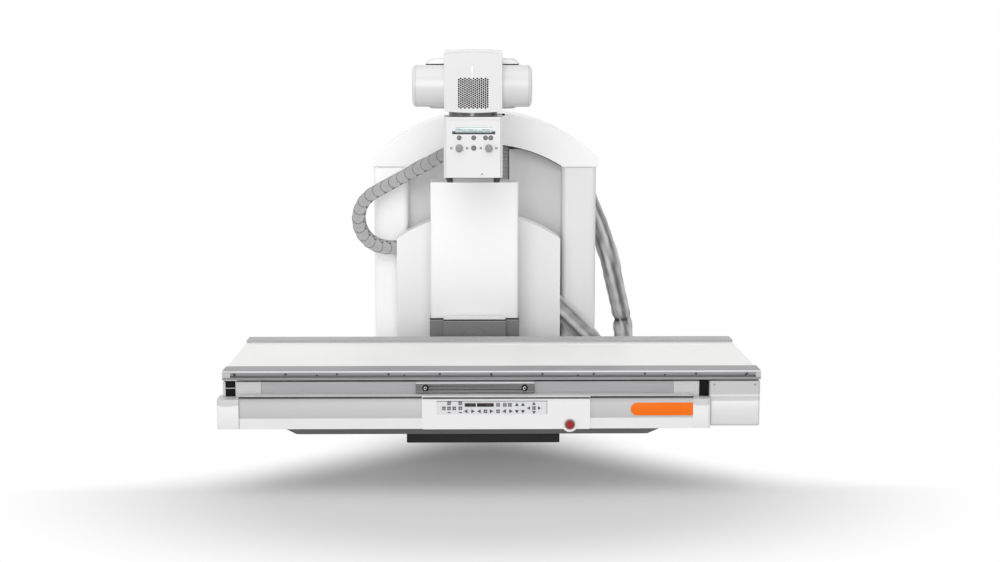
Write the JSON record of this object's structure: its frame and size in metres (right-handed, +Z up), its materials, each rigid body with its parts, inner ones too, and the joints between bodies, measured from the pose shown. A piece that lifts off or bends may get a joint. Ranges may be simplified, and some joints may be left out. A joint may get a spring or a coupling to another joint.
{
  "type": "remote-controlled fluoroscopy x-ray table",
  "caption": "Floor-standing x-ray machine: lifting, tilting patient table with a travelling tube column, tube head, collimator and detector carriage",
  "frame": {"origin": "on the floor, in the middle of the four floor anchor holes", "axes": "+X along the table to the operator's right, +Y from the table back to the stand, +Z up"},
  "size_m": [2.117, 2.029, 1.723],
  "materials": {
    "white_cover": "satin white moulded cover",
    "pale_cover": "satin light grey sheet",
    "pale_frame": "satin light grey paint",
    "dark_base": "dark grey powder coat",
    "dark_cover": "dark grey satin cover",
    "steel": "machined steel",
    "rail_alloy": "anodised extrusion",
    "housing_alloy": "painted light alloy casting",
    "white_alloy": "white painted light alloy",
    "chain_grey": "grey moulded nylon",
    "sleeve_fabric": "grey woven fabric sleeve",
    "panel_carbon": "smooth white laminate",
    "keypad_foil": "sealed foil keypad",
    "stop_red": "red moulded push button",
    "knob_dark": "black moulded knob",
    "key_grey": "grey moulded key",
    "display_dark": "dark display frame"
  },
  "bodies": {
    "base": {"base_plate": "dark_base", "pedestal": "dark_base", "guide_frame": "steel", "lead_screw": "steel", "left_pillar_cover": "white_cover", "right_pillar_cover": "white_cover", "recess_panels": "pale_cover", "hood": "white_cover", "back_cover": "white_cover", "cable_sleeve": "sleeve_fabric"},
    "lift_carriage": {"lift_slide": "steel", "lift_drive": "housing_alloy", "lift_arm": "steel", "tilt_bearing": "steel", "tilt_drive": "housing_alloy", "arch_cover": "white_cover", "energy_chain": "chain_grey"},
    "table_frame": {"tilt_hub": "steel", "support_console": "dark_base", "cross_members": "housing_alloy", "front_beam": "rail_alloy", "rear_beam": "rail_alloy", "end_frames": "pale_frame", "guide_rails": "steel", "cross_slides": "steel", "bottom_pan": "dark_cover", "fascia": "white_cover", "fascia_caps": "white_cover", "end_box": "white_cover", "control_box": "white_cover", "keypad": "keypad_foil"},
    "stop_head": {"stop_button": "stop_red"},
    "tabletop": {"table_panel": "panel_carbon", "front_rail": "rail_alloy", "rear_rail": "rail_alloy"},
    "column_carriage": {"carriage_frame": "housing_alloy", "detector_housing": "dark_cover", "carriage_plate": "rail_alloy"},
    "left_lock": {"lock_knob_left": "knob_dark"},
    "right_lock": {"lock_knob_right": "knob_dark"},
    "column": {"column_base": "dark_cover", "column_cover": "white_cover", "column_cap": "dark_cover"},
    "mast_unit": {"mast": "steel", "tube_arm": "white_alloy"},
    "tube_head": {"head_cover": "white_cover", "rear_head_cover": "white_cover", "cooler": "knob_dark", "tube_housing": "white_alloy", "tube_collar": "rail_alloy"},
    "collimator": {"collimator_cover": "white_cover", "display_panel": "display_dark", "accessory_rails": "knob_dark"},
    "left_field_knob": {"field_knob_left": "key_grey"},
    "right_field_knob": {"field_knob_right": "key_grey"},
    "light_key": {"light_button": "key_grey"},
    "key_1": {"format_key_1": "key_grey"},
    "key_2": {"format_key_2": "key_grey"},
    "key_3": {"format_key_3": "key_grey"},
    "key_4": {"format_key_4": "key_grey"}
  },
  "joints": [
    {"name": "lift", "type": "slide", "parent": "base", "child": "lift_carriage", "axis": [0, 0, 1], "range_m": [0, 0.62], "deforming": ["cable_sleeve"]},
    {"name": "table_tilt", "type": "hinge", "parent": "lift_carriage", "child": "table_frame", "pos_m": [-0.032, -0.2, 0.5], "axis": [0, 1, 0], "range_deg": [-45, 90], "deforming": ["energy_chain"]},
    {"name": "tabletop_shift", "type": "slide", "parent": "table_frame", "child": "tabletop", "axis": [0, 1, 0], "range_m": [-0.15, 0.15]},
    {"name": "stop_push", "type": "slide", "parent": "table_frame", "child": "stop_head", "axis": [0, 1, 0], "range_m": [0, 0.004], "stiffness_N_per_m": 2000, "springref_m": -0.002},
    {"name": "column_travel", "type": "slide", "parent": "table_frame", "child": "column_carriage", "axis": [-1, 0, 0], "range_m": [-0.53, 0.59]},
    {"name": "left_lock_turn", "type": "hinge", "parent": "column_carriage", "child": "left_lock", "pos_m": [-0.245, -1.506, 0.4128], "axis": [0, 1, 0], "range_deg": [0, 90]},
    {"name": "right_lock_turn", "type": "hinge", "parent": "column_carriage", "child": "right_lock", "pos_m": [0.141, -1.506, 0.4128], "axis": [0, 1, 0], "range_deg": [0, 90]},
    {"name": "column_angle", "type": "hinge", "parent": "column_carriage", "child": "column", "pos_m": [-0.052, -0.53, 0.433], "axis": [0, 1, 0], "range_deg": [-40, 40]},
    {"name": "source_lift", "type": "slide", "parent": "column", "child": "mast_unit", "axis": [0, 0, 1], "range_m": [0, 0.35]},
    {"name": "tube_swivel", "type": "hinge", "parent": "mast_unit", "child": "tube_head", "pos_m": [-0.058, -0.87, 1.575], "axis": [0, 1, 0], "range_deg": [-90, 90]},
    {"name": "collimator_turn", "type": "hinge", "parent": "tube_head", "child": "collimator", "pos_m": [-0.058, -1.1, 1.454], "axis": [0, 0, 1], "range_deg": [-45, 45]},
    {"name": "left_field_knob_turn", "type": "hinge", "parent": "collimator", "child": "left_field_knob", "pos_m": [-0.114, -1.221, 1.33], "axis": [0, 1, 0], "range_deg": [-140, 140]},
    {"name": "right_field_knob_turn", "type": "hinge", "parent": "collimator", "child": "right_field_knob", "pos_m": [0.004, -1.221, 1.33], "axis": [0, 1, 0], "range_deg": [-140, 140]},
    {"name": "light_key_push", "type": "slide", "parent": "collimator", "child": "light_key", "axis": [0, 1, 0], "range_m": [0, 0.002], "stiffness_N_per_m": 400, "springref_m": -0.001},
    {"name": "key_1_push", "type": "slide", "parent": "collimator", "child": "key_1", "axis": [0, 1, 0], "range_m": [0, 0.002], "stiffness_N_per_m": 400, "springref_m": -0.001},
    {"name": "key_2_push", "type": "slide", "parent": "collimator", "child": "key_2", "axis": [0, 1, 0], "range_m": [0, 0.002], "stiffness_N_per_m": 400, "springref_m": -0.001},
    {"name": "key_3_push", "type": "slide", "parent": "collimator", "child": "key_3", "axis": [0, 1, 0], "range_m": [0, 0.002], "stiffness_N_per_m": 400, "springref_m": -0.001},
    {"name": "key_4_push", "type": "slide", "parent": "collimator", "child": "key_4", "axis": [0, 1, 0], "range_m": [0, 0.002], "stiffness_N_per_m": 400, "springref_m": -0.001}
  ]
}
